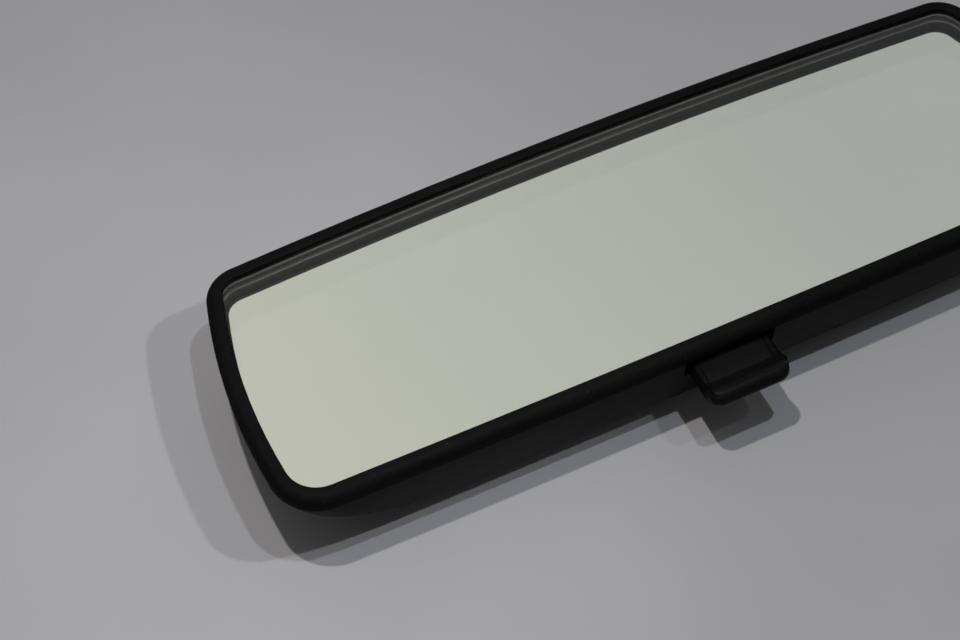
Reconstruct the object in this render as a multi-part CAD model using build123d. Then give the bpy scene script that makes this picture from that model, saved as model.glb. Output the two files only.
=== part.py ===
"""Interior rearview mirror with a day/night lever and a double-ball arm.

The head lies on its back with the glass up and the arm folded into its recess.
X runs along the head, +Y is the head's top edge, -Y the lever's edge, +Z the way the glass faces.
The origin is under the middle of the head, on the surface that it lies on. Millimetres.
"""

import os
from math import atan, cos, degrees, radians, sin

from build123d import *

# Head outline
HEAD_LENGTH = 240.0
HEAD_HEIGHT = 80.2
HEAD_DEPTH = 34.0
TOP_ARCH_RADIUS = 2025.0
BOTTOM_ARCH_RADIUS = 7100.0
END_ARC_RADIUS = 156.0
END_LEAN = 0.065
TOP_CORNER = 10.0
BOTTOM_CORNER = 13.5

# Bezel: a domed frame that is highest at its inner lip, and a skirt that snaps into the housing
DOME_RADIUS = 2.8
LIP_END_WIDTH = 4.7
LIP_SIDE_WIDTH = 4.3
LIP_ROUND = 0.5
BEZEL_BAND = 4.2
SKIRT_DEPTH = 7.5
SKIRT_OUT = 2.45
SKIRT_IN = 3.4
PARTING_GAP = 0.15

# Prismatic glass: thick along the top edge, thin along the bottom one
GLASS_DROP = 1.2
GLASS_INSET = 3.5
GLASS_TOP_THICKNESS = 6.4
GLASS_BOTTOM_THICKNESS = 3.1
SILVER_THICKNESS = 0.1
FILM_THICKNESS = 0.25

# Rear housing: depth below the rim, end inset, side inset and corner radius of each level
WALL = 2.2
BACK_WALL = 2.4
HULL_LEVELS = [
    (BEZEL_BAND + PARTING_GAP, 0.2, 0.2, 0.0),
    (12.0, 2.6, 0.9, 3.0),
    (19.5, 7.6, 2.3, 8.0),
    (26.0, 17.0, 4.6, 13.0),
    (30.5, 29.0, 7.8, 15.0),
    (33.0, 44.0, 12.0, 13.0),
    (HEAD_DEPTH, 57.0, 16.0, 9.0),
]
RIB_X = (48.0, 84.0)
RIB_THICKNESS = 1.8
RIB_TOP = 23.0
STOP_TOP = 14.8

# Recess in the back for the folded arm, and the window that the ball joint shows through
RECESS_HALF_WIDTH = 17.0
RECESS_START = 8.0
RECESS_STEP = 22.0
RECESS_CEILING = 15.0
RECESS_CEILING_DEEP = 18.0
RECESS_WALL = 2.0
WINDOW_HALF_WIDTH = 13.0
WINDOW_FROM = -16.0

# Head tilt hinge between the bracket and the housing
HINGE_Y, HINGE_Z = 16.0, 16.0
HINGE_PIN_RADIUS = 1.5
HINGE_EAR_X = 20.4
HINGE_EAR_WIDTH = 3.5
HINGE_BOSS_X = 24.3
HINGE_BOSS_WIDTH = 5.7
RUNNING_CLEARANCE = 0.05

# Day/night lever
LEVER_Y, LEVER_Z = -29.5, 25.0
LEVER_HALF_WIDTH = 10.8
LEVER_END = -52.4
LEVER_HUB_RADIUS = 3.2
LEVER_HUB_HALF = 8.2
LEVER_PIN_RADIUS = 1.5
LEVER_BOSS_X = 8.6
LEVER_BOSS_WIDTH = 4.0
CRANK_LENGTH = 11.4
CRANK_PIN_RADIUS = 1.2
CRANK_EAR_X = 3.5
CRANK_EAR_WIDTH = 2.5
SHANK_BOTTOM, SHANK_TOP = 22.8, 25.2
PLATEAU_START, PLATEAU_END, PLATEAU_TOP = -36.6, -44.6, 26.9
GROOVE, GROOVE_RADIUS = (-46.1, 28.1), 1.9
ROLL_RADIUS = 2.7
SLOT_HALF_WIDTH = 12.8
SLOT_BOTTOM = 22.3
SLOT_TOP = HEAD_DEPTH - BEZEL_BAND

# Pivot bracket and its ball joint
PLATE_Z, PLATE_THICKNESS = 18.5, 3.0
HEAD_BALL = (0.0, -4.0, 14.0)
HEAD_BALL_RADIUS = 6.0
HEAD_LINER_RADIUS = 7.5
HEAD_CUP_RADIUS = 7.6
HEAD_CUP_OUTER = 9.6
MOUTH_ANGLE = 60.0
STEM_ANGLE = 30.0
FLANGE_RADIUS = 14.0
FLANGE_THICKNESS = 2.4
CLAMP_SCREW_CIRCLE = 11.7
SCREW_RADIUS = 1.25
SCREW_HEAD_RADIUS = 2.2
SCREW_HEAD_HEIGHT = 1.6

# Arm and windscreen foot
FOOT_BALL = (0.0, 34.0, 6.4)
FOOT_BALL_RADIUS = 4.5
FOOT_LINER_RADIUS = 5.6
FOOT_CUP_RADIUS = 5.7
ARM_HALF_WIDTH, ARM_HALF_HEIGHT = 6.0, 4.3
FOOT_HALF_WIDTH = 12.5
FOOT_END = 52.4
CAP_THICKNESS = 4.0
CAP_SCREW_X = 9.2
SET_SCREW_Y, SET_SCREW_RADIUS = 46.4, 2.0
CHANNEL_START = 40.6
CHANNEL_DEPTH = 5.0
CHANNEL_HALF_WIDTH = 8.2
CHANNEL_MOUTH = 6.6

RIM = HEAD_DEPTH
GLASS_FRONT = RIM - GLASS_DROP
HALF_LENGTH = HEAD_LENGTH / 2
HALF_HEIGHT = HEAD_HEIGHT / 2
GLASS_EDGE = HALF_HEIGHT - GLASS_INSET
WEDGE_SLOPE = (GLASS_TOP_THICKNESS - GLASS_BOTTOM_THICKNESS) / (2 * GLASS_EDGE)


def top_edge(x, inset):
    """Height of the head's arched top edge at x."""
    return HALF_HEIGHT - inset - x**2 / (2 * TOP_ARCH_RADIUS)


def bottom_edge(x, inset):
    """Height of the head's nearly straight bottom edge at x."""
    return inset - HALF_HEIGHT + x**2 / (2 * BOTTOM_ARCH_RADIUS)


def end_edge(y, inset):
    """Half length of the head at y: its ends are arcs that lean in towards the top."""
    return HALF_LENGTH - inset - END_LEAN * y - y**2 / (2 * END_ARC_RADIUS)


def corner(edge, end_inset, side_inset):
    """Where an end meets the top or bottom edge."""
    x = HALF_LENGTH - end_inset
    for _ in range(8):
        y = edge(x, side_inset)
        x = end_edge(y, end_inset)
    return x, y


def head_outline(z, end_inset, side_inset=None, rounder=None):
    """The head's outline at height z, inset evenly unless the sides have their own inset."""
    side_inset = end_inset if side_inset is None else side_inset
    rounder = -end_inset if rounder is None else rounder
    xt, yt = corner(top_edge, end_inset, side_inset)
    xb, yb = corner(bottom_edge, end_inset, side_inset)
    middle = end_edge(0, end_inset)
    edges = [
        ThreePointArc((-xt, yt), (0, top_edge(0, side_inset)), (xt, yt)),
        ThreePointArc((xt, yt), (middle, 0), (xb, yb)),
        ThreePointArc((xb, yb), (0, bottom_edge(0, side_inset)), (-xb, yb)),
        ThreePointArc((-xb, yb), (-middle, 0), (-xt, yt)),
    ]
    face = make_face(edges)
    face = fillet(face.vertices().group_by(Axis.Y)[-1], TOP_CORNER + rounder)
    face = fillet(face.vertices().sort_by(Axis.Y)[:2], BOTTOM_CORNER + rounder)
    return Pos(0, 0, z) * face


def slab(z_low, z_high, inset):
    """A flat prism of the head's outline between two heights."""
    return extrude(head_outline(z_low, inset), amount=z_high - z_low)


def block(x, y, z):
    """A box from its low and high limits in x, y and z."""
    size = (x[1] - x[0], y[1] - y[0], z[1] - z[0])
    centre = ((x[0] + x[1]) / 2, (y[0] + y[1]) / 2, (z[0] + z[1]) / 2)
    return Pos(*centre) * Box(*size)


def rod(x_low, x_high, y, z, radius):
    """A round bar along X."""
    return Pos((x_low + x_high) / 2, y, z) * Rot(0, 90, 0) * Cylinder(radius, x_high - x_low)


def both_sides(shape):
    """A shape on the +X side together with its mirror image."""
    return shape + mirror(shape, about=Plane.YZ)


def below_glass(offset):
    """The space below the sloping back of the glass, lowered by offset."""
    middle = GLASS_FRONT - (GLASS_TOP_THICKNESS + GLASS_BOTTOM_THICKNESS) / 2 - offset
    tilt = -degrees(atan(WEDGE_SLOPE))
    return Pos(0, 0, middle) * Rot(tilt, 0, 0) * Pos(0, 0, -20) * Box(300, 200, 40)


def hull(inset, depth_scale):
    """The boat-shaped solid inside the rear housing's levels, inset by a wall's thickness."""
    sections = []
    for depth, end_inset, side_inset, rounder in HULL_LEVELS:
        z = RIM - BEZEL_BAND - PARTING_GAP - (depth - BEZEL_BAND - PARTING_GAP) * depth_scale
        sections.append(head_outline(z, end_inset + inset, side_inset + inset, rounder - inset / 2))
    return loft(sections)


def along(direction, start, length, radius, end_radius=None):
    """A round bar or cone that starts at a point and runs in a direction."""
    plane = Plane(origin=start, z_dir=direction)
    if end_radius is None:
        return plane * Pos(0, 0, length / 2) * Cylinder(radius, length)
    return plane * Pos(0, 0, length / 2) * Cone(radius, end_radius, length)


def ball_at(centre, radius):
    """A sphere at a point."""
    return Pos(*centre) * Sphere(radius)


# Direction that the head's ball cup opens in, and the direction of the arm's stem in it
MOUTH = (0, cos(radians(MOUTH_ANGLE)), -sin(radians(MOUTH_ANGLE)))
STEM = (0, cos(radians(STEM_ANGLE)), -sin(radians(STEM_ANGLE)))


def mouth_plane(distance):
    """A plane square to the cup's mouth, at a distance from the ball's centre."""
    origin = tuple(c + m * distance for c, m in zip(HEAD_BALL, MOUTH))
    return Plane(origin=origin, x_dir=(1, 0, 0), z_dir=MOUTH)


def mouth_disc(start, end, radius):
    """A disc about the mouth's axis between two distances from the ball's centre."""
    return mouth_plane((start + end) / 2) * Cylinder(radius, end - start)


def clamp_screw_places():
    """The three places of the clamp screws about the mouth's axis, as (x, y) on its plane."""
    return [
        (CLAMP_SCREW_CIRCLE * cos(radians(a)), CLAMP_SCREW_CIRCLE * sin(radians(a)))
        for a in (90, 210, 330)
    ]


# The head

def front_bezel():
    """Soft black frame with a domed face, a lip over the glass and a snap skirt."""
    body = slab(RIM - BEZEL_BAND, RIM, 0)
    body = fillet(body.faces().sort_by(Axis.Z)[-1].outer_wire().edges(), DOME_RADIUS)
    body -= extrude(head_outline(RIM, LIP_END_WIDTH, LIP_SIDE_WIDTH), amount=-BEZEL_BAND)
    crown = body.faces().filter_by(Plane.XY).sort_by(Axis.Z)[-1]
    body = fillet(crown.inner_wires()[0].edges(), LIP_ROUND)
    body -= slab(RIM - BEZEL_BAND, GLASS_FRONT, GLASS_INSET - 0.1)
    skirt_low, skirt_top = RIM - SKIRT_DEPTH, RIM - BEZEL_BAND
    body += slab(skirt_low, skirt_top, SKIRT_OUT) - slab(skirt_low, skirt_top, SKIRT_IN)
    return body - block((-SLOT_HALF_WIDTH, SLOT_HALF_WIDTH), (-45, -34), (15, SLOT_TOP))


def prism_glass():
    """Wedge of clear glass."""
    return slab(GLASS_FRONT - 7, GLASS_FRONT, GLASS_INSET) - below_glass(0)


def glass_layer(start, thickness, inset):
    """A thin layer that covers the sloping back of the glass."""
    return (slab(GLASS_FRONT - 8, GLASS_FRONT, inset) & below_glass(start)) - below_glass(start + thickness)


def silver_coating():
    """Silver on the back of the glass."""
    return glass_layer(0, SILVER_THICKNESS, GLASS_INSET + 0.3)


def backing_film():
    """Film that holds the splinters if the glass breaks."""
    return glass_layer(SILVER_THICKNESS, FILM_THICKNESS, GLASS_INSET + 0.3)


def foam_pads():
    """Four foam pads that press the glass against the bezel's lip."""
    pads = []
    for x in (-RIB_X[1], -RIB_X[0], RIB_X[0], RIB_X[1]):
        pad = block((x - 5, x + 5), (-20, 20), (RIB_TOP, GLASS_FRONT))
        pads.append(pad & below_glass(SILVER_THICKNESS + FILM_THICKNESS))
    return pads[0] + pads[1] + pads[2] + pads[3]


def rear_housing():
    """Boat-shaped shell with the arm's recess, ribs, hinge bosses and the lever's bosses."""
    outside = hull(0, 1)
    inside = hull(WALL, (HEAD_DEPTH - BEZEL_BAND - BACK_WALL) / (HEAD_DEPTH - BEZEL_BAND))
    recess_wall = RECESS_HALF_WIDTH + RECESS_WALL
    walls = block((-recess_wall, recess_wall), (RECESS_START, 60), (0, RECESS_CEILING + RECESS_WALL))
    walls += block((-recess_wall, recess_wall), (RECESS_STEP, 60), (0, RECESS_CEILING_DEEP + RECESS_WALL))
    for x in RIB_X:
        walls += both_sides(block((x - RIB_THICKNESS / 2, x + RIB_THICKNESS / 2), (-40, 40), (0, RIB_TOP)))
    hinge = block(
        (HINGE_BOSS_X, HINGE_BOSS_X + HINGE_BOSS_WIDTH), (HINGE_Y - 3.6, HINGE_Y + 3.6), (0, HINGE_Z)
    )
    hinge += rod(HINGE_BOSS_X, HINGE_BOSS_X + HINGE_BOSS_WIDTH, HINGE_Y, HINGE_Z, 3.6)
    lever = block((LEVER_BOSS_X, LEVER_BOSS_X + LEVER_BOSS_WIDTH), (LEVER_Y - 3, LEVER_Y + 3), (0, LEVER_Z))
    lever += rod(LEVER_BOSS_X, LEVER_BOSS_X + LEVER_BOSS_WIDTH, LEVER_Y, LEVER_Z, 3.0)
    stop = block((13.6, 18.6), (-15.5, -10.5), (0, STOP_TOP))
    walls += both_sides(hinge) + both_sides(lever) + both_sides(stop)
    shell = (outside - inside) + (walls & outside)
    shell -= slab(RIM - SKIRT_DEPTH - 0.2, RIM, SKIRT_OUT - 0.1)
    shell -= block((-RECESS_HALF_WIDTH, RECESS_HALF_WIDTH), (RECESS_START, 60), (-1, RECESS_CEILING))
    shell -= block((-RECESS_HALF_WIDTH, RECESS_HALF_WIDTH), (RECESS_STEP, 60), (-1, RECESS_CEILING_DEEP))
    shell -= block((-WINDOW_HALF_WIDTH, WINDOW_HALF_WIDTH), (WINDOW_FROM, RECESS_START + 1), (-1, 10))
    shell -= block((-SLOT_HALF_WIDTH, SLOT_HALF_WIDTH), (-45, -34), (SLOT_BOTTOM, SLOT_TOP))
    shell -= rod(-40, 40, HINGE_Y, HINGE_Z, HINGE_PIN_RADIUS) - block((-24, 24), (0, 30), (0, 30))
    return shell - rod(-40, 40, LEVER_Y, LEVER_Z, LEVER_PIN_RADIUS)


def hinge_pins():
    """Two steel pins that the bracket's ears turn on."""
    end = HINGE_BOSS_X + HINGE_BOSS_WIDTH
    return both_sides(rod(HINGE_EAR_X - 0.6, end, HINGE_Y, HINGE_Z, HINGE_PIN_RADIUS))


def lever_pin():
    """Steel pin that the lever turns on."""
    end = LEVER_BOSS_X + LEVER_BOSS_WIDTH
    return rod(-end, end, LEVER_Y, LEVER_Z, LEVER_PIN_RADIUS)


# The day/night lever

def toggle_lever():
    """Moulded lever: a finger tab with a rolled edge, a shank, a hub and two crank ears."""
    roll_y = LEVER_END + ROLL_RADIUS
    roll_z = LEVER_Z + 0.7
    section = Polyline(
        (LEVER_Y - 3.8, SHANK_BOTTOM), (LEVER_Y - 3.8, SHANK_TOP), (PLATEAU_START - 0.9, PLATEAU_TOP),
        (PLATEAU_END, PLATEAU_TOP), (roll_y, roll_z + 1.6), (roll_y, roll_z - ROLL_RADIUS),
        (-40.0, SHANK_BOTTOM), close=True,
    )
    face = make_face(Plane.YZ * section)
    tab = extrude(face, amount=LEVER_HALF_WIDTH, both=True)
    tab += rod(-LEVER_HALF_WIDTH, LEVER_HALF_WIDTH, roll_y, roll_z, ROLL_RADIUS)
    tab -= rod(-20, 20, *GROOVE, GROOVE_RADIUS)
    plan = Pos(0, LEVER_END + 12, 0) * RectangleRounded(2 * LEVER_HALF_WIDTH, 24, 3.2)
    tab &= extrude(plan, amount=60)
    hub = rod(-LEVER_HUB_HALF, LEVER_HUB_HALF, LEVER_Y, LEVER_Z, LEVER_HUB_RADIUS)
    hub += block((-LEVER_HUB_HALF, LEVER_HUB_HALF), (LEVER_Y - 4.2, LEVER_Y), (SHANK_BOTTOM, SHANK_TOP))
    crank_y = LEVER_Y + CRANK_LENGTH
    ear_end = CRANK_EAR_X + CRANK_EAR_WIDTH
    ear = block((CRANK_EAR_X, ear_end), (LEVER_Y, crank_y), (LEVER_Z - 2.2, LEVER_Z + 2.2))
    ear += rod(CRANK_EAR_X, ear_end, crank_y, LEVER_Z, 2.4)
    lever = tab + hub + both_sides(ear)
    lever -= rod(-20, 20, LEVER_Y, LEVER_Z, LEVER_PIN_RADIUS + RUNNING_CLEARANCE)
    return lever - rod(-20, 20, crank_y, LEVER_Z, CRANK_PIN_RADIUS)


def crank_pin():
    """Steel pin pressed into the crank ears, which runs in the bracket's slot."""
    end = CRANK_EAR_X + CRANK_EAR_WIDTH
    return rod(-end, end, LEVER_Y + CRANK_LENGTH, LEVER_Z, CRANK_PIN_RADIUS)


# The pivot bracket

def pivot_bracket():
    """Moulded plate with two hinge ears, a slotted tongue and the cup for the arm's ball."""
    top = PLATE_Z + PLATE_THICKNESS
    ear_end = HINGE_EAR_X + HINGE_EAR_WIDTH
    bracket = block((-ear_end, ear_end), (-14, 14), (PLATE_Z, top))
    ear = block((HINGE_EAR_X, ear_end), (HINGE_Y - 3.6, HINGE_Y + 3.6), (HINGE_Z, top))
    ear += rod(HINGE_EAR_X, ear_end, HINGE_Y, HINGE_Z, 3.6)
    bracket += both_sides(ear)
    crank_y = LEVER_Y + CRANK_LENGTH
    tongue = block((-3, 3), (crank_y - 3.8, -12), (PLATE_Z, top))
    tongue += block((-3, 3), (crank_y - 3.8, crank_y + 3.8), (PLATE_Z, LEVER_Z + 2.8))
    slot = block((-5, 5), (crank_y - 2.2, crank_y + 2.2), (LEVER_Z - 1.5, LEVER_Z + 1.5))
    bracket += tongue - slot
    bracket += ball_at(HEAD_BALL, HEAD_CUP_OUTER) + mouth_disc(-FLANGE_THICKNESS, 0, FLANGE_RADIUS)
    bracket -= mouth_disc(0, 40, 60) & block((-25, 25), (-30, 14), (-30, PLATE_Z))
    bracket -= mouth_disc(0, 12, FLANGE_RADIUS + 0.5)
    bracket -= ball_at(HEAD_BALL, HEAD_CUP_RADIUS)
    for x, y in clamp_screw_places():
        bracket -= mouth_plane(0) * Pos(x, y, 0) * Cylinder(SCREW_RADIUS, 12)
    bracket -= rod(-40, 40, HINGE_Y, HINGE_Z, HINGE_PIN_RADIUS + RUNNING_CLEARANCE)
    return bracket


def ball_clamp_plate():
    """Pressed ring that closes the cup about the ball's liner."""
    ring = mouth_disc(0.1, FLANGE_THICKNESS, FLANGE_RADIUS)
    ring += ball_at(HEAD_BALL, HEAD_CUP_OUTER) & mouth_disc(0.1, 3.6, 12)
    ring -= ball_at(HEAD_BALL, HEAD_CUP_RADIUS)
    for x, y in clamp_screw_places():
        ring -= mouth_plane(0) * Pos(x, y, 0) * Cylinder(SCREW_RADIUS, 12)
    return ring


def screw(plane, x, y, seat, length):
    """A cheese-head screw: its head stands on the seat, and its shank goes back by length."""
    body = plane * Pos(x, y, seat - length / 2) * Cylinder(SCREW_RADIUS, length)
    head = Pos(x, y, seat + SCREW_HEAD_HEIGHT / 2) * Cylinder(SCREW_HEAD_RADIUS, SCREW_HEAD_HEIGHT)
    drive = Pos(x, y, seat + SCREW_HEAD_HEIGHT) * Box(0.7, 2 * SCREW_HEAD_RADIUS, 1.2)
    return body + plane * (head - drive)


def clamp_screws():
    """Three screws through the clamp plate into the bracket."""
    face, seat = mouth_plane(0), FLANGE_THICKNESS
    parts = [screw(face, x, y, seat, 2 * FLANGE_THICKNESS) for x, y in clamp_screw_places()]
    return parts[0] + parts[1] + parts[2]


def toggle_spring():
    """Forked leaf spring under the crank ears."""
    top = PLATE_Z + PLATE_THICKNESS
    leaf = block((-7.6, 7.6), (-24, -11.6), (top, top + 0.4))
    return leaf - block((-3.4, 3.4), (-25, -13.4), (top - 1, top + 2))


def spring_rivets():
    """Two rivets that hold the leaf spring to the bracket."""
    top = PLATE_Z + PLATE_THICKNESS + 0.4
    return both_sides(Pos(5.4, -12.4, top + 0.3) * Cylinder(0.75, 0.6))


def stop_bumpers():
    """Two rubber bumpers under the bracket that end the head's tilt without a knock."""
    return both_sides(Pos(16.1, -12, PLATE_Z - 0.75) * Cylinder(1.9, 1.5))


# Liners of the ball joints

def ball_liner(centre, direction, inner, outer, opening):
    """Slippery shell between a ball and its cup, open towards the stem."""
    shell = ball_at(centre, outer) - ball_at(centre, inner)
    origin = tuple(c + d * opening for c, d in zip(centre, direction))
    return shell - Plane(origin=origin, z_dir=direction) * Pos(0, 0, 10) * Cylinder(20, 20)


def head_ball_liner():
    """Acetal liner of the head's ball joint."""
    return ball_liner(HEAD_BALL, STEM, HEAD_BALL_RADIUS + RUNNING_CLEARANCE, HEAD_LINER_RADIUS, 3.4)


def foot_ball_liner():
    """Acetal liner of the foot's ball joint."""
    return ball_liner(FOOT_BALL, (0, -1, 0), FOOT_BALL_RADIUS + RUNNING_CLEARANCE, FOOT_LINER_RADIUS, 2.6)


# The arm

def mirror_arm():
    """Cast arm with a flattened section, cranked where it leaves the head, and a spigot for each ball."""
    knee_reach = (HEAD_BALL[2] - FOOT_BALL[2]) / sin(radians(STEM_ANGLE))
    knee = tuple(c + s * knee_reach for c, s in zip(HEAD_BALL, STEM))
    start = tuple(c + s * 10.5 for c, s in zip(HEAD_BALL, STEM))
    path = FilletPolyline(start, knee, (0, 25.0, FOOT_BALL[2]), radius=9)
    section = Plane(origin=start, x_dir=(1, 0, 0), z_dir=STEM) * Ellipse(ARM_HALF_WIDTH, ARM_HALF_HEIGHT)
    arm = sweep(section, path=path)
    arm += along(STEM, HEAD_BALL, 10.6, 2.8)
    arm += along((0, -1, 0), FOOT_BALL, 9.2, 2.4)
    arm -= ball_at(HEAD_BALL, HEAD_BALL_RADIUS) - along(STEM, HEAD_BALL, 8, 2.0)
    return arm - (ball_at(FOOT_BALL, FOOT_BALL_RADIUS) - along((0, -1, 0), FOOT_BALL, 6, 1.6))


def head_ball():
    """Steel ball pressed onto the arm's spigot in the head."""
    return ball_at(HEAD_BALL, HEAD_BALL_RADIUS) - along(STEM, HEAD_BALL, 8, 2.0)


def foot_ball():
    """Steel ball pressed onto the arm's spigot in the foot."""
    return ball_at(FOOT_BALL, FOOT_BALL_RADIUS) - along((0, -1, 0), FOOT_BALL, 6, 1.6)


# The windscreen foot

def windscreen_foot():
    """Cast foot: half of the ball's cup, and a dovetail channel that slides over the windscreen button."""
    profile = Polyline(
        (FOOT_BALL[1] + 0.05, 0), (FOOT_END, 0), (FOOT_END, 7.4), (49.6, 10.6), (43.5, 12.8),
        (FOOT_BALL[1] + 0.05, 12.8), close=True,
    )
    foot = extrude(make_face(Plane.YZ * profile), amount=FOOT_HALF_WIDTH, both=True)
    corners = foot.edges().filter_by(Axis.Z).group_by(Axis.Y)[-1]
    foot = fillet(corners, 3)
    lips = block((-CHANNEL_MOUTH, CHANNEL_MOUTH), (CHANNEL_START, 60), (-1, CHANNEL_DEPTH))
    wide = block((-CHANNEL_HALF_WIDTH, CHANNEL_HALF_WIDTH), (CHANNEL_START, 60), (1.5, CHANNEL_DEPTH))
    foot -= lips + wide
    foot -= ball_at(FOOT_BALL, FOOT_CUP_RADIUS)
    foot -= Pos(0, SET_SCREW_Y, 8) * Cylinder(SET_SCREW_RADIUS, 8)
    for x in (-CAP_SCREW_X, CAP_SCREW_X):
        foot -= along((0, 1, 0), (x, 30, FOOT_BALL[2]), 10, SCREW_RADIUS)
    return foot


def foot_ball_cap():
    """Cap that closes the foot's cup about its ball."""
    y_front = FOOT_BALL[1] - CAP_THICKNESS
    cap = block((-FOOT_HALF_WIDTH, FOOT_HALF_WIDTH), (y_front, FOOT_BALL[1] - 0.05), (0.4, 12.4))
    cap = fillet(cap.edges().filter_by(Axis.Y), 2.5)
    cap -= ball_at(FOOT_BALL, FOOT_CUP_RADIUS)
    cap -= along((0, -1, 0), FOOT_BALL, 6, 1.2, 7.6)
    for x in (-CAP_SCREW_X, CAP_SCREW_X):
        cap -= along((0, 1, 0), (x, 28, FOOT_BALL[2]), 12, SCREW_RADIUS)
    return cap


def cap_screws():
    """Two screws that hold the cap to the foot."""
    face = Plane(origin=(0, 0, FOOT_BALL[2]), x_dir=(1, 0, 0), z_dir=(0, -1, 0))
    seat = CAP_THICKNESS - FOOT_BALL[1]
    parts = [screw(face, x, 0, seat, 9) for x in (-CAP_SCREW_X, CAP_SCREW_X)]
    return parts[0] + parts[1]


def button_set_screw():
    """Grub screw that locks the foot on its windscreen button."""
    screw_body = Pos(0, SET_SCREW_Y, 8.1) * Cylinder(SET_SCREW_RADIUS, 5.4)
    return screw_body - Pos(0, SET_SCREW_Y, 10.4) * extrude(RegularPolygon(1.1, 6), amount=-2.4)


PARTS = {
    "front_bezel": front_bezel,
    "prism_glass": prism_glass,
    "silver_coating": silver_coating,
    "backing_film": backing_film,
    "foam_pads": foam_pads,
    "rear_housing": rear_housing,
    "hinge_pins": hinge_pins,
    "lever_pin": lever_pin,
    "toggle_lever": toggle_lever,
    "crank_pin": crank_pin,
    "pivot_bracket": pivot_bracket,
    "ball_clamp_plate": ball_clamp_plate,
    "clamp_screws": clamp_screws,
    "toggle_spring": toggle_spring,
    "spring_rivets": spring_rivets,
    "stop_bumpers": stop_bumpers,
    "head_ball_liner": head_ball_liner,
    "foot_ball_liner": foot_ball_liner,
    "mirror_arm": mirror_arm,
    "head_ball": head_ball,
    "foot_ball": foot_ball,
    "windscreen_foot": windscreen_foot,
    "foot_ball_cap": foot_ball_cap,
    "cap_screws": cap_screws,
    "button_set_screw": button_set_screw,
}

os.makedirs("parts", exist_ok=True)
for name, make in PARTS.items():
    shape = make()
    print(name, len(shape.solids()), round(shape.volume, 1), shape.bounding_box())
    export_step(shape, f"parts/{name}.step")
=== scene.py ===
import math

import bmesh
import bpy
from mathutils import Matrix, Vector


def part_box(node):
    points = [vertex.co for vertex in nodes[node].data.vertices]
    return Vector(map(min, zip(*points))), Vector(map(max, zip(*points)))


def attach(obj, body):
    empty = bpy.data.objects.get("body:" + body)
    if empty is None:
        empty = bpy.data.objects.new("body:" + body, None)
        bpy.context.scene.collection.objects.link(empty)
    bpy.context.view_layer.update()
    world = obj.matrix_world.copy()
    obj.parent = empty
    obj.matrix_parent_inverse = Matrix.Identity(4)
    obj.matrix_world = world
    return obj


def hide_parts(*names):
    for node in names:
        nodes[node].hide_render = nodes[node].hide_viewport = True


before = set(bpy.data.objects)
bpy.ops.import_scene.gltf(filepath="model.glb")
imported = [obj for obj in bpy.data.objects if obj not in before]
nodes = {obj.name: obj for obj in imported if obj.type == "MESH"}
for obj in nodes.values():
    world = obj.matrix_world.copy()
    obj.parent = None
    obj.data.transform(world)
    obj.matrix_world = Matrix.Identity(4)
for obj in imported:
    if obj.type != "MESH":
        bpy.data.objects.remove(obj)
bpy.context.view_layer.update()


# Windscreen foot and its cap: small zinc castings with a black powder coat. The foot slides over
# a button on the windscreen, and the cap closes its ball cup. The coat is fine-grained, and it
# has rubbed thin where the foot has been handled.

def new_material(name):
    """A new material with its node tree, its shader and the coordinates of the piece itself."""
    made = bpy.data.materials.new(name)
    made.use_nodes = True
    tree = made.node_tree
    place = tree.nodes.new("ShaderNodeTexCoord").outputs["Object"]
    return made, tree, tree.nodes["Principled BSDF"], place


def grain(tree, place, scale, detail=2.0, rough=0.5, stretch=(1, 1, 1)):
    """A noise from 0 to 1, at a scale in waves per metre, drawn out along an axis by stretch."""
    fitted = tree.nodes.new("ShaderNodeMapping")
    fitted.inputs["Scale"].default_value = stretch
    tree.links.new(place, fitted.inputs["Vector"])
    node = tree.nodes.new("ShaderNodeTexNoise")
    node.inputs["Scale"].default_value = scale
    node.inputs["Detail"].default_value = detail
    node.inputs["Roughness"].default_value = rough
    tree.links.new(fitted.outputs["Vector"], node.inputs["Vector"])
    return node.outputs["Fac"]


def carry(tree, value, to_low, to_high, from_low=0.32, from_high=0.68):
    """A value carried from one range to another and held at its ends."""
    node = tree.nodes.new("ShaderNodeMapRange")
    limits = {"From Min": from_low, "From Max": from_high, "To Min": to_low, "To Max": to_high}
    for name, number in limits.items():
        node.inputs[name].default_value = number
    tree.links.new(value, node.inputs["Value"])
    return node.outputs["Result"]


def between(tree, value, first, second):
    """A colour between two colours, by a value. Either one may be another node's colour."""
    node = tree.nodes.new("ShaderNodeMix")
    node.data_type = "RGBA"
    tree.links.new(value, node.inputs["Factor"])
    for socket, colour in ((node.inputs[6], first), (node.inputs[7], second)):
        if isinstance(colour, tuple):
            socket.default_value = (*colour, 1)
        else:
            tree.links.new(colour, socket)
    return node.outputs[2]


def press(tree, shader, layers):
    """Presses height patterns into the surface one over another, each to its depth in metres."""
    normal = None
    for height, depth in layers:
        node = tree.nodes.new("ShaderNodeBump")
        node.inputs["Strength"].default_value = 1.0
        node.inputs["Distance"].default_value = depth
        tree.links.new(height, node.inputs["Height"])
        if normal is not None:
            tree.links.new(normal, node.inputs["Normal"])
        normal = node.outputs["Normal"]
    tree.links.new(normal, shader.inputs["Normal"])


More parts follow.
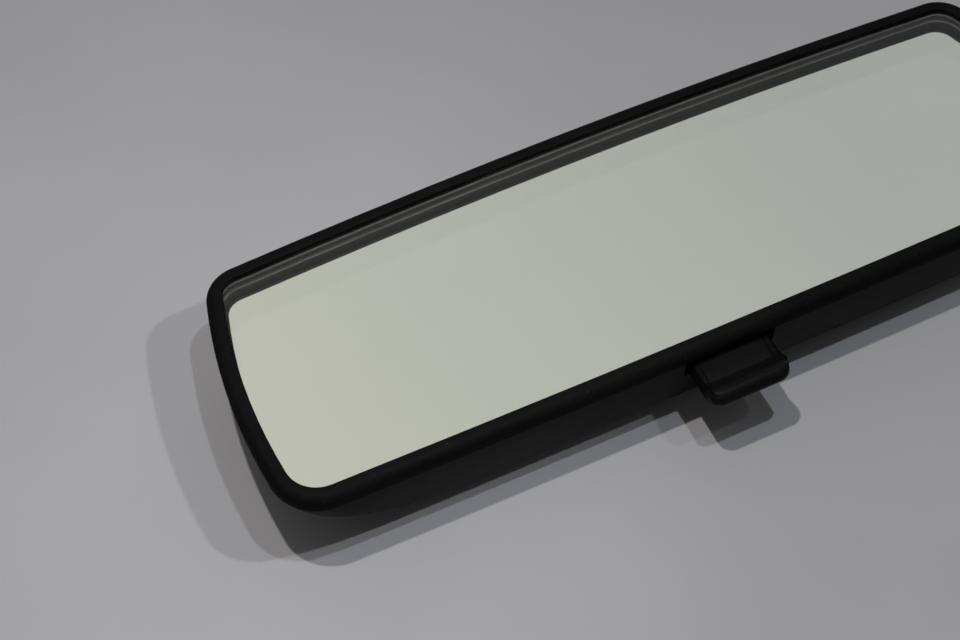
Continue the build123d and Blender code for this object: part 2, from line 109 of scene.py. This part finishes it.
def worn_black(name, dark, light, gloss, shine, grain_scale, grain_depth, scuffs=0.5):
    """Black plastic or coat: moulded grain, slow changes of shade, fine scuffs and a little dust."""
    made, tree, shader, place = new_material(name)
    shader.inputs["Specular IOR Level"].default_value = shine
    shade_scale, drawn_scale, crossed_scale, speck_scale = 45, 420, 520, 1900
    dust_tone = (0.09, 0.088, 0.082)
    slow = grain(tree, place, shade_scale, 3)
    fine = grain(tree, place, grain_scale, 3, 0.6)
    drawn = grain(tree, place, drawn_scale, 4, 0.7, (0.12, 1, 1))
    crossed = grain(tree, place, crossed_scale, 4, 0.7, (1, 0.15, 0.6))
    specks = grain(tree, place, speck_scale, 1)
    scuff = carry(tree, drawn, 0, scuffs, 0.62, 0.74)
    scratch = carry(tree, crossed, 0, scuffs, 0.66, 0.76)
    dust = carry(tree, specks, 0, 0.4, 0.75, 0.82)
    scuffed_tone = tuple(3.2 * c + 0.004 for c in light)
    grain_tone = tuple(1.7 * c for c in light)
    body = between(tree, carry(tree, slow, 0, 1), dark, light)
    body = between(tree, carry(tree, fine, 0, 0.35, 0.35, 0.75), body, grain_tone)
    body = between(tree, scuff, body, scuffed_tone)
    body = between(tree, dust, body, dust_tone)
    tree.links.new(body, shader.inputs["Base Color"])
    sum_node = tree.nodes.new("ShaderNodeMath")
    sum_node.operation = "ADD"
    tree.links.new(carry(tree, slow, *gloss), sum_node.inputs[0])
    tree.links.new(carry(tree, scratch, 0, -0.14, 0, 0.5), sum_node.inputs[1])
    tree.links.new(sum_node.outputs[0], shader.inputs["Roughness"])
    press(tree, shader, [(slow, 3 * grain_depth), (fine, grain_depth), (drawn, 0.3 * grain_depth)])
    return made


def finish_nodes(finish, *names):
    """Gives CAD nodes a finish."""
    for name in names:
        for place in nodes[name].material_slots:
            place.material = finish


def ease_edges(width, *names):
    """Rounds the sharp edges of CAD nodes as a mould or a tumbler does."""
    same_point = 2e-6
    nearly_flat, sharp = math.radians(0.6), math.radians(40)
    for name in names:
        piece = nodes[name]
        weld = piece.modifiers.new("weld", "WELD")
        weld.merge_threshold = same_point
        flats = piece.modifiers.new("flats", "DECIMATE")
        flats.decimate_type = "DISSOLVE"
        flats.angle_limit = nearly_flat
        round_off = piece.modifiers.new("round_off", "BEVEL")
        round_off.width = width
        round_off.segments = 3
        round_off.limit_method = "ANGLE"
        round_off.angle_limit = sharp
        round_off.harden_normals = True


powder_coat = worn_black(
    "powder_coat", (0.007, 0.007, 0.008), (0.012, 0.012, 0.013), (0.42, 0.55), 0.35, 2600, 4e-5
)
finish_nodes(powder_coat, "windscreen_foot", "foot_ball_cap")
cast_round = 0.0004
ease_edges(cast_round, "windscreen_foot", "foot_ball_cap")


# Cap screws and set screw: zinc-plated steel with turned heads. The screws hold the cap on the
# foot, and the socket set screw bears on the windscreen button.

def bare_metal(name, dark, light, gloss, grain_scale, depth, stretch=(1, 1, 1)):
    """Bare or plated metal with drawing marks, small stains and changes of polish."""
    made, tree, shader, place = new_material(name)
    shader.inputs["Metallic"].default_value = 1.0
    shade_scale, stain_scale = 260, 700
    stain_tone = tuple(0.55 * c for c in dark)
    slow = grain(tree, place, shade_scale, 3)
    fine = grain(tree, place, grain_scale, 3, 0.6, stretch)
    stains = grain(tree, place, stain_scale, 2)
    body = between(tree, carry(tree, slow, 0, 1), dark, light)
    body = between(tree, carry(tree, stains, 0, 0.6, 0.62, 0.8), body, stain_tone)
    tree.links.new(body, shader.inputs["Base Color"])
    tree.links.new(carry(tree, fine, *gloss), shader.inputs["Roughness"])
    press(tree, shader, [(fine, depth), (stains, 0.5 * depth)])
    return made


zinc_plate = bare_metal("zinc_plate", (0.50, 0.50, 0.46), (0.66, 0.66, 0.63), (0.24, 0.38), 3000, 6e-6)
finish_nodes(zinc_plate, "cap_screws", "button_set_screw")
turned_round = 0.00025
ease_edges(turned_round, "cap_screws", "button_set_screw")


# Foot ball joint: a polished steel ball in a split liner of natural acetal, which keeps the joint
# stiff without squeaking. The liner is moulded, and the ball is pressed on the arm's spigot.

def moulded_white(name, dark, light, gloss):
    """Slippery off-white plastic with flow marks and a smear of grease."""
    made, tree, shader, place = new_material(name)
    flow_scale, smear_scale = 300, 150
    grease_tone = (0.42, 0.38, 0.27)
    flow = grain(tree, place, flow_scale, 3, 0.5, (1, 0.3, 1))
    smear = grain(tree, place, smear_scale, 2)
    body = between(tree, carry(tree, flow, 0, 1), dark, light)
    body = between(tree, carry(tree, smear, 0, 0.5, 0.55, 0.75), body, grease_tone)
    tree.links.new(body, shader.inputs["Base Color"])
    tree.links.new(carry(tree, smear, *gloss), shader.inputs["Roughness"])
    press(tree, shader, [(flow, 1.5e-5), (smear, 3e-5)])
    return made


acetal = moulded_white("acetal", (0.62, 0.61, 0.55), (0.72, 0.71, 0.66), (0.42, 0.26))
polished_ball = bare_metal(
    "polished_ball", (0.60, 0.60, 0.60), (0.70, 0.70, 0.70), (0.12, 0.22), 1500, 2e-6
)
finish_nodes(acetal, "foot_ball_liner")
finish_nodes(polished_ball, "foot_ball")


# Mirror arm: one zinc casting with a flattened section, cranked where it leaves the head. It has
# the foot's powder coat, and a spigot at each end.

arm_coat = worn_black(
    "arm_coat", (0.007, 0.007, 0.008), (0.013, 0.013, 0.014), (0.40, 0.52), 0.35, 2300, 5e-5, 0.7
)
finish_nodes(arm_coat, "mirror_arm")


# Head ball joint: a larger ball and liner, clamped in the bracket's cup by a pressed ring and
# three screws, all zinc plated.

pressed_zinc = bare_metal(
    "pressed_zinc", (0.48, 0.48, 0.43), (0.62, 0.62, 0.58), (0.28, 0.42), 2200, 8e-6, (1, 0.25, 1)
)
finish_nodes(acetal, "head_ball_liner")
finish_nodes(polished_ball, "head_ball")
finish_nodes(pressed_zinc, "ball_clamp_plate")
finish_nodes(zinc_plate, "clamp_screws")
ease_edges(turned_round, "clamp_screws")


# Pivot bracket: glass-filled nylon, moulded with the ball's cup, two hinge ears and the slotted
# tongue that the lever's crank works in. It is dull and shows the glass fibres.

glass_nylon = worn_black(
    "glass_nylon", (0.020, 0.020, 0.020), (0.036, 0.036, 0.035), (0.5, 0.64), 0.3, 1500, 7e-5
)
finish_nodes(glass_nylon, "pivot_bracket")


# Leaf spring, rivets and rubber bumpers: the blued spring snaps the lever over centre, and two
# steel rivets hold it to the bracket. The bumpers end the head's tilt without a knock.

blued_spring = bare_metal(
    "blued_spring", (0.10, 0.11, 0.17), (0.20, 0.21, 0.27), (0.26, 0.40), 2500, 5e-6, (0.2, 1, 1)
)
drawn_steel = bare_metal(
    "drawn_steel", (0.42, 0.42, 0.43), (0.56, 0.56, 0.57), (0.25, 0.40), 2500, 4e-6, (0.15, 1, 1)
)
bumper_rubber = worn_black(
    "bumper_rubber", (0.012, 0.012, 0.012), (0.020, 0.020, 0.020), (0.70, 0.88), 0.2, 2400, 4e-5
)
finish_nodes(blued_spring, "toggle_spring")
finish_nodes(drawn_steel, "spring_rivets")
finish_nodes(bumper_rubber, "stop_bumpers")


# Rear housing: a boat-shaped shell, injection moulded in black polypropylene with a fine spark
# grain. The arm's recess and the lever's slot are part of the moulding.

housing_plastic = worn_black(
    "housing_plastic", (0.0042, 0.0042, 0.0040), (0.0056, 0.0056, 0.0053), (0.56, 0.64), 0.075,
    3200, 2.4e-5, 0.3,
)
finish_nodes(housing_plastic, "rear_housing")


# Pins of the head's hinge, the lever and its crank: drawn steel, pressed into the housing's
# bosses and the lever's ears.

finish_nodes(drawn_steel, "hinge_pins", "lever_pin", "crank_pin")


# Finger lever: one black nylon moulding. The tab has a grained pad, a groove for the fingertip and
# a smooth rolled edge, and inside the head are its hub and two crank ears. It turns on its pin.

mm = 0.001
lever_low, lever_high = (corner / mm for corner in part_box("toggle_lever"))

# The tab's side view in millimetres: the shank, the pad, the groove and the rolled edge.
tab_half = lever_high.x
tab_end = lever_low.y
roll_radius = 2.7
roll_y, roll_z = tab_end + roll_radius, 25.7
shank_bottom, shank_top = 22.8, 25.2
shank_start = -33.3
pad_front, pad_back, pad_top = -36.9, -44.1, 26.9
pad_side, pad_step = 9.2, 0.55
groove_y, groove_z, groove_radius = -46.05, 28.0, 1.75
pad_round_high, pad_round_low = 0.7, 1.15
pad_blend = 0.35
pad_front_ease, pad_back_ease = 0.2, 0.4
pad_front_arc, pad_back_arc = (45, 90, 6), (90, 140, 6)
groove_arc, roll_arc = (-112, -72, 12), (62, 270, 34)
corner_round = 3.0
edge_round = 1.0
edge_share = 0.85
corner_share = 0.8
corner_depth = 2.2
tab_stations = 72
end_crowding = 0.55
point_gap = 0.34


def arc_points(centre, radius, start, end, count):
    """Points on an arc in the plane of the lever's side, from one angle to another in degrees."""
    turn = [math.radians(start + (end - start) * i / count) for i in range(count + 1)]
    return [(centre[0] + radius * math.cos(a), centre[1] + radius * math.sin(a)) for a in turn]


def smooth_step(value, low, high):
    """0 below low, 1 above high and an even curve between."""
    t = min(max((value - low) / (high - low), 0.0), 1.0)
    return t * t * (3 - 2 * t)


def even_loop(points, gap):
    """A closed loop's points, set out again at an even gap."""
    out = []
    for (y0, z0), (y1, z1) in zip(points, points[1:] + points[:1]):
        count = max(1, round(math.hypot(y1 - y0, z1 - z0) / gap))
        out += [(y0 + (y1 - y0) * i / count, z0 + (z1 - z0) * i / count) for i in range(count)]
    return out


def tab_section(pad_height, pad_round):
    """The tab's closed outline seen from its side, with the pad at a height and its edges rounded."""
    loop = [(shank_start, shank_bottom), (shank_start, shank_top)]
    round_z = pad_height - pad_round
    loop += arc_points((pad_front - pad_front_ease, round_z), pad_round, *pad_front_arc)
    loop += arc_points((pad_back + pad_back_ease, round_z), pad_round, *pad_back_arc)
    loop += arc_points((groove_y, groove_z), groove_radius, *groove_arc)
    loop += arc_points((roll_y, roll_z), roll_radius, *roll_arc)
    return even_loop(loop, point_gap)


def inward(loop, depth):
    """The loop moved in by a depth, square to itself."""
    moved = []
    for i, (y, z) in enumerate(loop):
        before, after = loop[i - 1], loop[(i + 1) % len(loop)]
        ty, tz = after[0] - before[0], after[1] - before[1]
        length = math.hypot(ty, tz)
        moved.append((y + depth * tz / length, z - depth * ty / length))
    return moved


high_section = tab_section(pad_top, pad_round_high)
low_section = tab_section(pad_top - pad_step, pad_round_low)
section_count = min(len(high_section), len(low_section))


def resample(loop, count):
    """The loop with exactly so many points, at even distances along it."""
    steps = [math.dist(a, b) for a, b in zip(loop, loop[1:] + loop[:1])]
    total, out, i, run = sum(steps), [], 0, 0.0
    for k in range(count):
        goal = total * k / count
        while run + steps[i] < goal:
            run += steps[i]
            i += 1
        share = (goal - run) / steps[i]
        (y0, z0), (y1, z1) = loop[i], loop[(i + 1) % len(loop)]
        out.append((y0 + share * (y1 - y0), z0 + share * (z1 - z0)))
    return out


high_section = resample(high_section, section_count)
low_section = resample(low_section, section_count)

lever_mesh = bmesh.new()
rings = []
for i in range(tab_stations + 1):
    sweep = -math.cos(math.pi * i / tab_stations)
    spread = 2 * i / tab_stations - 1
    x = tab_half * (end_crowding * sweep + (1 - end_crowding) * spread)
    over = max(0.0, abs(x) - (tab_half - edge_round))
    depth = edge_round - math.sqrt(max(0.0, edge_round**2 - over**2))
    lower = smooth_step(abs(x), pad_side - pad_blend, pad_side + pad_blend)
    loop = [
        (a[0] + lower * (b[0] - a[0]), a[1] + lower * (b[1] - a[1]))
        for a, b in zip(high_section, low_section)
    ]
    past = max(0.0, abs(x) - (tab_half - corner_round))
    pull = corner_round - math.sqrt(max(0.0, corner_round**2 - past**2))
    ring = []
    for y, z in inward(loop, edge_share * depth):
        reach = smooth_step(-y, -roll_y - corner_depth, -tab_end)
        ring.append(lever_mesh.verts.new((x, y + corner_share * pull * reach, z)))
    rings.append(ring)
for first, second in zip(rings, rings[1:]):
    for k in range(section_count):
        n = (k + 1) % section_count
        lever_mesh.faces.new((first[k], first[n], second[n], second[k]))
for ring in (rings[0], rings[-1]):
    cap = bmesh.ops.contextual_create(lever_mesh, geom=ring)["faces"]
    bmesh.ops.triangulate(lever_mesh, faces=cap)
bmesh.ops.scale(lever_mesh, vec=(mm, mm, mm), verts=lever_mesh.verts)

# The hub and the crank ears, cut from the plain lever behind the tab.
works_gap = 0.0003
works = bmesh.new()
works.from_mesh(nodes["toggle_lever"].data)
same_point, nearly_flat = 2e-6, math.radians(0.5)
bmesh.ops.remove_doubles(works, verts=works.verts, dist=same_point)
bmesh.ops.dissolve_limit(works, angle_limit=nearly_flat, verts=works.verts, edges=works.edges)
bmesh.ops.bisect_plane(
    works, geom=works.verts[:] + works.edges[:] + works.faces[:],
    plane_co=(0, shank_start * mm - works_gap, 0), plane_no=(0, -1, 0), clear_outer=True,
)
open_edges = [e for e in works.edges if e.is_boundary]
bmesh.ops.holes_fill(works, edges=open_edges)
works_data = bpy.data.meshes.new("lever_works")
works.to_mesh(works_data)
works.free()
lever_mesh.from_mesh(works_data)
bmesh.ops.recalc_face_normals(lever_mesh, faces=lever_mesh.faces)


def piece_from(mesh, name, finish, body):
    """A new piece from a finished mesh, with its finish, riding on a body."""
    data = bpy.data.meshes.new(name)
    mesh.to_mesh(data)
    mesh.free()
    data.materials.append(finish)
    made = bpy.data.objects.new(name, data)
    bpy.context.scene.collection.objects.link(made)
    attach(made, body)
    return made


def smooth_by_angle(piece, degrees):
    """Smooth shading, with edges sharper than an angle kept crisp."""
    for face in piece.data.polygons:
        face.use_smooth = True
    piece.data.set_sharp_from_angle(angle=math.radians(degrees))


lever_plastic, tree, shader, place = new_material("lever_plastic")
shade_scale, pad_grain_scale, scuff_scale = 90, 2300, 600
grain_tone, scuffed_tone = (0.008, 0.008, 0.008), (0.012, 0.012, 0.012)
slow = grain(tree, place, shade_scale, 3)
fine = grain(tree, place, pad_grain_scale, 3, 0.6)
scuff = grain(tree, place, scuff_scale, 4, 0.7, (0.1, 1, 1))
split = tree.nodes.new("ShaderNodeSeparateXYZ")
tree.links.new(place, split.inputs["Vector"])
pad_edge_from, pad_edge_to = -0.0456, -0.0446
on_pad = carry(tree, split.outputs["Y"], 0, 1, pad_edge_from, pad_edge_to)
body = between(tree, carry(tree, slow, 0, 1), (0.0022, 0.0022, 0.0025), (0.0036, 0.0036, 0.0039))
body = between(tree, carry(tree, fine, 0, 0.4, 0.4, 0.75), body, grain_tone)
body = between(tree, carry(tree, scuff, 0, 0.5, 0.62, 0.74), body, scuffed_tone)
shader.inputs["Specular IOR Level"].default_value = 0.035
tree.links.new(body, shader.inputs["Base Color"])
tree.links.new(carry(tree, on_pad, 0.40, 0.62, 0, 1), shader.inputs["Roughness"])
lift = tree.nodes.new("ShaderNodeMath")
lift.operation = "MULTIPLY"
tree.links.new(fine, lift.inputs[0])
tree.links.new(carry(tree, on_pad, 0.2, 1, 0, 1), lift.inputs[1])
press(tree, shader, [(slow, 4e-5), (lift.outputs[0], 9e-5), (scuff, 8e-6)])

finger_lever = piece_from(lever_mesh, "finger_lever", lever_plastic, "lever")
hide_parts("toggle_lever")
crisp_from = 32
smooth_by_angle(finger_lever, crisp_from)


# Foam pads: four blocks cut from open-cell foam. They stand on the housing's ribs and press the
# glass against the bezel's lip, so that it can't rattle.

pad_foam, tree, shader, place = new_material("pad_foam")
cells = tree.nodes.new("ShaderNodeTexVoronoi")
cell_scale = 1400
cells.inputs["Scale"].default_value = cell_scale
tree.links.new(place, cells.inputs["Vector"])
# The foam is painted darker where it lies low between the raised cells: painted shade in the pores.
cell_height_and_painted_shade = carry(tree, cells.outputs["Distance"], 1, 0, 0.1, 0.6)
tree.links.new(
    between(tree, cell_height_and_painted_shade, (0.020, 0.020, 0.020), (0.075, 0.075, 0.078)), shader.inputs["Base Color"]
)
shader.inputs["Roughness"].default_value = 0.92
press(tree, shader, [(cell_height_and_painted_shade, 3e-4)])
finish_nodes(pad_foam, "foam_pads")


# Backing film: grey vinyl stuck over the back of the silver. It keeps damp from the silver and
# holds the splinters if the glass breaks.

film_backing = worn_black(
    "film_backing", (0.12, 0.13, 0.14), (0.16, 0.17, 0.18), (0.40, 0.50), 0.4, 900, 2e-5
)
finish_nodes(film_backing, "backing_film")


# Prism glass and its silver: a wedge of float glass, thicker along its top edge. Its edges are
# ground, its faces are polished, and its back is silvered.

glass_low, glass_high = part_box("prism_glass")
edge_bevel = 0.00035
silver_inset = 0.0004
silver_gap = 0.00003
silver_thickness = 0.00006
face_slope = 0.8
same_height, near_edge = 1e-6, 0.002

# The glass's outline and the slope of its back, taken from the plain wedge.
front_points = {
    (round(v.co.x, 6), round(v.co.y, 6))
    for v in nodes["prism_glass"].data.vertices if v.co.z > glass_high.z - same_height
}
length_to_height = 3
outline = sorted(front_points, key=lambda p: math.atan2(p[1] * length_to_height, p[0]))
back_low = min(v.co.z for v in nodes["prism_glass"].data.vertices)
thin_edge = max(
    v.co.z for v in nodes["prism_glass"].data.vertices
    if v.co.z < glass_high.z - same_height and v.co.y < glass_low.y + near_edge
)
wedge = (back_low - thin_edge) / (glass_high.y - glass_low.y)


def back_at(y):
    """Height of the glass's sloping back at y."""
    return thin_edge + wedge * (y - glass_low.y)


def inset_outline(distance):
    """The glass's outline moved in by a distance."""
    moved = []
    for i, (x, y) in enumerate(outline):
        before, after = outline[i - 1], outline[(i + 1) % len(outline)]
        tx, ty = after[0] - before[0], after[1] - before[1]
        length = math.hypot(tx, ty)
        moved.append((x - distance * ty / length, y + distance * tx / length))
    return moved


def stacked(levels):
    """A closed mesh of one ring of points over another, with a flat face at each end."""
    mesh = bmesh.new()
    rings = [[mesh.verts.new(point) for point in level] for level in levels]
    for first, second in zip(rings, rings[1:]):
        for k in range(len(first)):
            n = (k + 1) % len(first)
            mesh.faces.new((first[k], first[n], second[n], second[k]))
    mesh.faces.new(rings[0])
    mesh.faces.new(rings[-1])
    bmesh.ops.recalc_face_normals(mesh, faces=mesh.faces)
    return mesh


full, cut_back = inset_outline(0), inset_outline(edge_bevel)
glass_mesh = stacked([
    [(x, y, glass_high.z) for x, y in cut_back],
    [(x, y, glass_high.z - edge_bevel) for x, y in full],
    [(x, y, back_at(y) + edge_bevel) for x, y in full],
    [(x, y, back_at(y)) for x, y in cut_back],
])
for face in glass_mesh.faces:
    face.material_index = 0 if abs(face.normal.z) > face_slope else 1

clear_glass, tree, shader, place = new_material("clear_glass")
haze_scale = 60
haze = grain(tree, place, haze_scale, 3)
tree.links.new(
    between(tree, carry(tree, haze, 0, 1), (0.955, 0.972, 0.950), (0.962, 0.976, 0.956)),
    shader.inputs["Base Color"],
)
tree.links.new(carry(tree, haze, 0.0, 0.012, 0.5, 0.8), shader.inputs["Roughness"])
shader.inputs["Transmission Weight"].default_value = 1.0
shader.inputs["IOR"].default_value = 1.52
shader.inputs["Specular IOR Level"].default_value = 0.12
wedge_glass = piece_from(glass_mesh, "wedge_glass", clear_glass, "head")

ground_edge, tree, shader, place = new_material("ground_edge")
wheel_mark_scale = 900
wheel_marks = grain(tree, place, wheel_mark_scale, 4, 0.7, (1, 1, 0.06))
height = tree.nodes.new("ShaderNodeSeparateXYZ")
tree.links.new(place, height.inputs["Vector"])
edge_bands = tree.nodes.new("ShaderNodeValToRGB")
tree.links.new(
    carry(tree, height.outputs["Z"], 0, 1, back_low, glass_high.z), edge_bands.inputs["Fac"]
)

# Bands up the ground edge, from the silvered back to the face: dark lacquer, frosted glass, a pale line
# that is a painted highlight, and painted shade where the bezel's lip shades the edge.
bands = edge_bands.color_ramp.elements
bands[0].position, bands[0].color = 0.0, (0.002, 0.002, 0.001, 1)
bands[1].position, bands[1].color = 1.0, (0.006, 0.007, 0.006, 1)
# The pale bands at 0.34 and 0.42 are a painted highlight, and from 0.52 up to the face the edge is
# painted shade under the bezel's lip.
edge_tones_and_painted_light = {
    0.08: (0.002, 0.002, 0.001, 1),
    0.16: (0.034, 0.036, 0.024, 1),
    0.26: (0.060, 0.062, 0.050, 1),
    0.34: (0.210, 0.222, 0.210, 1),
    0.42: (0.130, 0.138, 0.132, 1),
    0.52: (0.012, 0.013, 0.012, 1),
}
for position, colour in edge_tones_and_painted_light.items():
    bands.new(position).color = colour
worn_edge = tree.nodes.new("ShaderNodeMix")
worn_edge.data_type = "RGBA"
worn_edge.blend_type = "MULTIPLY"
worn_edge.inputs["Factor"].default_value = 1.0
tree.links.new(edge_bands.outputs["Color"], worn_edge.inputs["A"])
tree.links.new(carry(tree, wheel_marks, 0.85, 1.15), worn_edge.inputs["B"])
tree.links.new(worn_edge.outputs["Result"], shader.inputs["Base Color"])
tree.links.new(carry(tree, wheel_marks, 0.7, 0.9), shader.inputs["Roughness"])
shader.inputs["Specular IOR Level"].default_value = 0.1
press(tree, shader, [(wheel_marks, 2e-5)])
wedge_glass.data.materials.append(ground_edge)
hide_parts("prism_glass")

silver_outline = inset_outline(silver_inset)
silver_mesh = stacked([
    [(x, y, back_at(y) - silver_gap) for x, y in silver_outline],
    [(x, y, back_at(y) - silver_gap - silver_thickness) for x, y in silver_outline],
])
mirror_silver, tree, shader, place = new_material("mirror_silver")
shader.inputs["Metallic"].default_value = 1.0
cloud_scale = 9
cloud = grain(tree, place, cloud_scale, 3)
tree.links.new(
    between(tree, carry(tree, cloud, 0, 1), (0.915, 0.915, 0.895), (0.940, 0.940, 0.925)),
    shader.inputs["Base Color"],
)
tree.links.new(carry(tree, cloud, 0.010, 0.028), shader.inputs["Roughness"])
silver_layer = piece_from(silver_mesh, "silver_layer", mirror_silver, "head")
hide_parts("silver_coating")


# Front bezel: a domed frame moulded in soft black elastomer, highest at its lip over the glass.
# It snaps over the housing's rim and holds the glass.

bezel_rubber = worn_black(
    "bezel_rubber", (0.0017, 0.0017, 0.0017), (0.0028, 0.0028, 0.0027), (0.62, 0.70), 0.035,
    3600, 1.4e-5, 0.25,
)
finish_nodes(bezel_rubber, "front_bezel")


# Studio: a plain pale table, a dim room with a pale wall and ceiling beyond the mirror, and three
# small lamps close overhead whose tints show in the shadows. The nearest lamp has a shade.

table_half = 3.0
floor_mesh = bpy.data.meshes.new("table_top")
floor_mesh.from_pydata(
    [(-table_half, -table_half, 0), (table_half, -table_half, 0), (table_half, table_half, 0),
     (-table_half, table_half, 0)], [], [(0, 1, 2, 3)],
)
floor = bpy.data.objects.new("table_top", floor_mesh)
bpy.context.scene.collection.objects.link(floor)
table_paper, tree, shader, place = new_material("table_paper")
mottle_scale, fibre_scale = 14, 1500
mottle = grain(tree, place, mottle_scale, 3)
fibre = grain(tree, place, fibre_scale, 2)
tree.links.new(
    between(tree, carry(tree, mottle, 0, 1), (0.243, 0.242, 0.252), (0.256, 0.255, 0.266)),
    shader.inputs["Base Color"],
)
shader.inputs["Roughness"].default_value = 0.8
shader.inputs["Specular IOR Level"].default_value = 0.25
press(tree, shader, [(fibre, 2e-5)])
floor_mesh.materials.append(table_paper)

studio = bpy.data.worlds.new("studio")
studio.use_nodes = True
bpy.context.scene.world = studio
tree = studio.node_tree
direction = tree.nodes.new("ShaderNodeTexCoord").outputs["Generated"]
facing = tree.nodes.new("ShaderNodeVectorMath")
facing.operation = "DOT_PRODUCT"
wall_side = (0.28, 0.53, 0.80)
facing.inputs[1].default_value = wall_side
tree.links.new(direction, facing.inputs[0])
leaning = tree.nodes.new("ShaderNodeVectorMath")
leaning.operation = "DOT_PRODUCT"
warm_side = (-0.93, 0.0, 0.37)
leaning.inputs[1].default_value = warm_side
tree.links.new(direction, leaning.inputs[0])
tone = carry(tree, leaning.outputs["Value"], 0, 1, -0.16, 0.25)
wall_paint = between(tree, tone, (0.435, 0.442, 0.438), (0.610, 0.612, 0.545))
opening = carry(tree, facing.outputs["Value"], 0, 1, 0.35, 0.92)
dim_room = (0.155, 0.155, 0.16)
tree.links.new(between(tree, opening, dim_room, wall_paint), tree.nodes["Background"].inputs["Color"])
tree.nodes["Background"].inputs["Strength"].default_value = 1.0

bulb_radius = 0.006
shade_angle = math.radians(58)


def lamp(name, place, power, tint, towards=None):
    """A small frosted bulb, with a soft-edged shade when it is turned towards a place."""
    data = bpy.data.lights.new(name, "SPOT" if towards else "POINT")
    data.shadow_soft_size = bulb_radius
    data.energy = power
    data.color = tint
    made = bpy.data.objects.new(name, data)
    made.location = place
    made.visible_transmission = False
    if towards:
        data.spot_size = shade_angle
        data.spot_blend = 1.0
        made.rotation_euler = (Vector(towards) - Vector(place)).to_track_quat("-Z", "Y").to_euler()
    bpy.context.scene.collection.objects.link(made)


lamp("near_lamp", (0.0834, -0.1535, 0.3891), 3.3, (0.95, 0.95, 1.0), (-0.22, 0.05, 0.0))
lamp("middle_lamp", (-0.0010, -0.1258, 0.5401), 4.3, (0.84, 0.92, 1.0))
lamp("far_lamp", (-0.1204, -0.0413, 0.5796), 8.0, (1.0, 0.96, 0.93))


# Camera: a long lens above the mirror's lower edge, turned a little to the left and tipped so
# that the mirror runs up towards the right.

lens = 63.75
azimuth, elevation, roll = -0.3727, 0.9616, -0.0715
distance = 0.42941
aim = Vector((-0.05457, -0.00766, 0.034))
view = bpy.data.cameras.new("camera")
view.lens = lens
view.clip_start = 0.01
camera = bpy.data.objects.new("camera", view)
bpy.context.scene.collection.objects.link(camera)
away = Vector((
    math.sin(azimuth) * math.cos(elevation), -math.cos(azimuth) * math.cos(elevation), math.sin(elevation)
))
camera.location = aim + away * distance
right = (-away).cross(Vector((0, 0, 1))).normalized()
up = right.cross(-away)
right_rolled = math.cos(roll) * right + math.sin(roll) * up
up_rolled = -math.sin(roll) * right + math.cos(roll) * up
camera.rotation_euler = Matrix((right_rolled, up_rolled, away)).transposed().to_euler()
bpy.context.scene.camera = camera
bpy.context.scene.view_settings.view_transform = "Standard"
